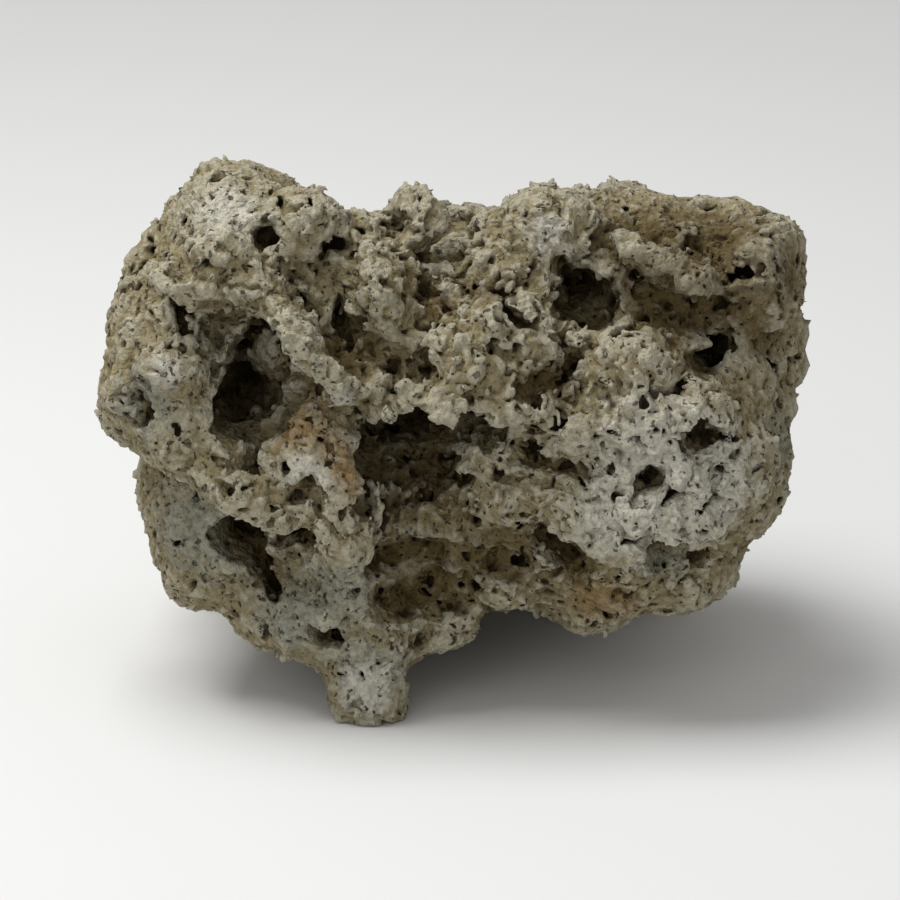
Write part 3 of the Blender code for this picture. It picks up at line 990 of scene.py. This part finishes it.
def over(tree, below, above, value, ends):
    # one colour over another, by a value between its two ends, and at most so much of it
    low, high, most = ends
    return mixed(tree, mathNode(tree, "MULTIPLY", ramp(tree, value, low, high), most), below, above)


def noise(tree, place, kind):
    # about 0.5, over a size in mm
    size, detail, rough = kind
    values = {"Vector": place, "Scale": 1000 / size, "Detail": detail, "Roughness": rough}
    return addNode(tree, "ShaderNodeTexNoise", values).outputs["Fac"]


def nodules(tree, place, size, waver):
    # uneven round nodules of a size in mm: how far a place is from the middle of the nearest, as a
    # share of the size, and a shade for each
    bends, detail, depth = waver
    values = {"Vector": place, "Scale": 1000 / (bends * size), "Detail": detail}
    bend = addNode(tree, "ShaderNodeTexNoise", values).outputs["Color"]
    bend = vectorNode(tree, "SUBTRACT", {0: bend, 1: (0.5, 0.5, 0.5)})
    bend = vectorNode(tree, "SCALE", {0: bend, "Scale": depth * size})
    moved = vectorNode(tree, "ADD", {0: place, 1: bend})
    cells = addNode(tree, "ShaderNodeTexVoronoi", {"Vector": moved, "Scale": 1000 / size}, feature="F1")
    return cells.outputs["Distance"], cells.outputs["Color"]


def stoneMaterial():
    material = bpy.data.materials.new("reef_stone_skin")
    material.use_nodes = True
    tree = material.node_tree
    shader = tree.nodes["Principled BSDF"]
    place = addNode(tree, "ShaderNodeTexCoord").outputs["Object"]
    stone = reefStone
    colour = {name: (*value, 1) for name, value in stone["colours"].items()}
    wornAndShaded = {
        name: addNode(tree, "ShaderNodeAttribute", attribute_name=name).outputs["Fac"]
        for name in ("gap", "recess", "cave", "crevice", "ochre", "white", "grey", "brown")
    }
    kinds = ("broad", "fine", "speck", "pinhole")
    broad, fine, speck, dots = [noise(tree, place, stone[name]) for name in kinds]
    far, shade = nodules(tree, place, stone["nodule"], stone["waver"])
    ragged = mathNode(tree, "MULTIPLY", mathNode(tree, "SUBTRACT", fine, 0.5), stone["ragged"])

    # chalk on the crests, tan between them
    crest = ramp(tree, wornAndShaded["gap"], *stone["crestGap"])
    crest = summed(tree, crest, (broad, fine), stone["crest"])
    skin = over(tree, colour["tan"], colour["chalk"], crest, stone["chalkOver"])
    # grey, white and ochre patches with ragged edges
    for name in ("grey", "white", "ochre"):
        share = mathNode(tree, "ADD", wornAndShaded[name], ragged)
        skin = over(tree, skin, colour[name], share, stone[name + "Over"])
    # brown on the stained parts, and painted shade: brown in the recesses, darker deep in the caves and in
    # gaps
    recess = mathNode(tree, "SUBTRACT", wornAndShaded["recess"], 0.5)
    stainAndShade = summed(tree, wornAndShaded["brown"], (ragged, recess), stone["stainAndShade"])
    skin = over(tree, skin, colour["brown"], stainAndShade, stone["stainAndShadeOver"])
    uneven = mathNode(tree, "SUBTRACT", broad, 0.5)
    deep = summed(tree, wornAndShaded["recess"], (uneven, ragged), stone["deep"])
    skin = over(tree, skin, colour["brown"], deep, stone["deepOver"])
    skin = over(tree, skin, colour["dark"], wornAndShaded["cave"], stone["caveOver"])
    gap = summed(tree, wornAndShaded["gap"], (ragged,), stone["gap"])
    skin = over(tree, skin, colour["dark"], gap, stone["gapOver"])
    # pinholes: the lowest places of a noise, painted dark as the shade in them
    start, full, most = stone["pinholeOver"]
    pinhole = ramp(tree, dots, start, full)
    skin = mixed(tree, mathNode(tree, "MULTIPLY", pinhole, most), skin, colour["dark"])
    # light and dark by speck and nodule, with painted shade at the nodules' edges
    edge = ramp(tree, far, *stone["noduleEdge"])
    tone = summed(tree, stone["toneStart"], (speck, shade, edge), stone["tone"])
    skin = mixed(tree, 1.0, skin, tone, "MULTIPLY")
    # painted shade, dark in the fine crevices, and pale on the fine crests
    skin = over(tree, skin, colour["dark"], wornAndShaded["crevice"], stone["creviceOver"])
    skin = over(tree, skin, colour["white"], wornAndShaded["crevice"], stone["edgeOver"])
    tree.links.new(skin, shader.inputs["Base Color"])

    height = summed(tree, speck, (fine, far, pinhole), stone["bump"])
    values = {"Height": height, "Strength": stone["bumpStrength"], "Distance": stone["bumpDepth"]}
    bump = addNode(tree, "ShaderNodeBump", values)
    tree.links.new(bump.outputs["Normal"], shader.inputs["Normal"])
    shader.inputs["Roughness"].default_value = stone["roughness"]
    shader.inputs["Specular IOR Level"].default_value = stone["specular"]
    return material


# The camera stands where the photograph was taken from, in front of the rock and a little above it.
view = {
    "elevation": 18,  # degrees
    "distance": 1.5,  # m
    "frameWidth": 0.205,  # m across the picture at the rock
    "footY": -0.0504,  # the front edge of the front foot, m
    "aimHeight": 0.063,  # of the picture's middle over that edge, in the picture's plane, m
    "sensor": 36,  # mm
}


def makeCamera():
    rise = math.radians(view["elevation"])
    back = Vector((0, -math.cos(rise), math.sin(rise)))
    up = Vector((0, math.sin(rise), math.cos(rise)))
    camera = placed("camera", bpy.data.cameras.new("camera"))
    camera.location = Vector((0, view["footY"], 0)) + up * view["aimHeight"] + back * view["distance"]
    camera.rotation_euler = (-back).to_track_quat("-Z", "Y").to_euler()
    camera.data.sensor_width = view["sensor"]
    camera.data.lens = view["sensor"] * view["distance"] / view["frameWidth"]
    bpy.context.scene.camera = camera


# A pale floor under plain soft lamps and a white world.
studio = {
    "world": 0.42,
    "lamps": (  # name, place in m, power in W, size in m
        ("key", (-0.35, 0.0, 0.95), 9, 0.6),
        ("front", (-0.3, -1.0, 0.5), 2, 0.7),
    ),
    "aim": (0, 0, 0.06),  # where the lamps point, m
    "floor": (0.74, 0.74, 0.73),
    "floorRoughness": 0.9,
    "floorSize": 6.0,  # m
}


def makeStudio():
    bpy.context.scene.view_settings.view_transform = "Standard"
    world = bpy.data.worlds.new("studio")
    world.use_nodes = True
    world.node_tree.nodes["Background"].inputs["Color"].default_value = (1, 1, 1, 1)
    world.node_tree.nodes["Background"].inputs["Strength"].default_value = studio["world"]
    bpy.context.scene.world = world
    for name, place, power, size in studio["lamps"]:
        lamp = bpy.data.lights.new(name, "AREA")
        lamp.energy = power
        lamp.size = size
        made = placed(name, lamp)
        made.location = place
        towards = Vector(studio["aim"]) - Vector(place)
        made.rotation_euler = towards.to_track_quat("-Z", "Y").to_euler()
    half = studio["floorSize"] / 2
    corners = [(-half, -half, 0), (half, -half, 0), (half, half, 0), (-half, half, 0)]
    mesh = bpy.data.meshes.new("floor")
    mesh.from_pydata(corners, [], [(0, 1, 2, 3)])
    material = bpy.data.materials.new("pale_floor")
    material.use_nodes = True
    shader = material.node_tree.nodes["Principled BSDF"]
    shader.inputs["Base Color"].default_value = (*studio["floor"], 1)
    shader.inputs["Roughness"].default_value = studio["floorRoughness"]
    mesh.materials.append(material)
    placed("floor", mesh)


makeCamera()
makeStudio()
pieces = makeRock()
material = stoneMaterial()
for piece in pieces:
    piece.data.materials.append(material)
    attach(piece, "root")
    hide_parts("reef_rock")
stage("rock in place")
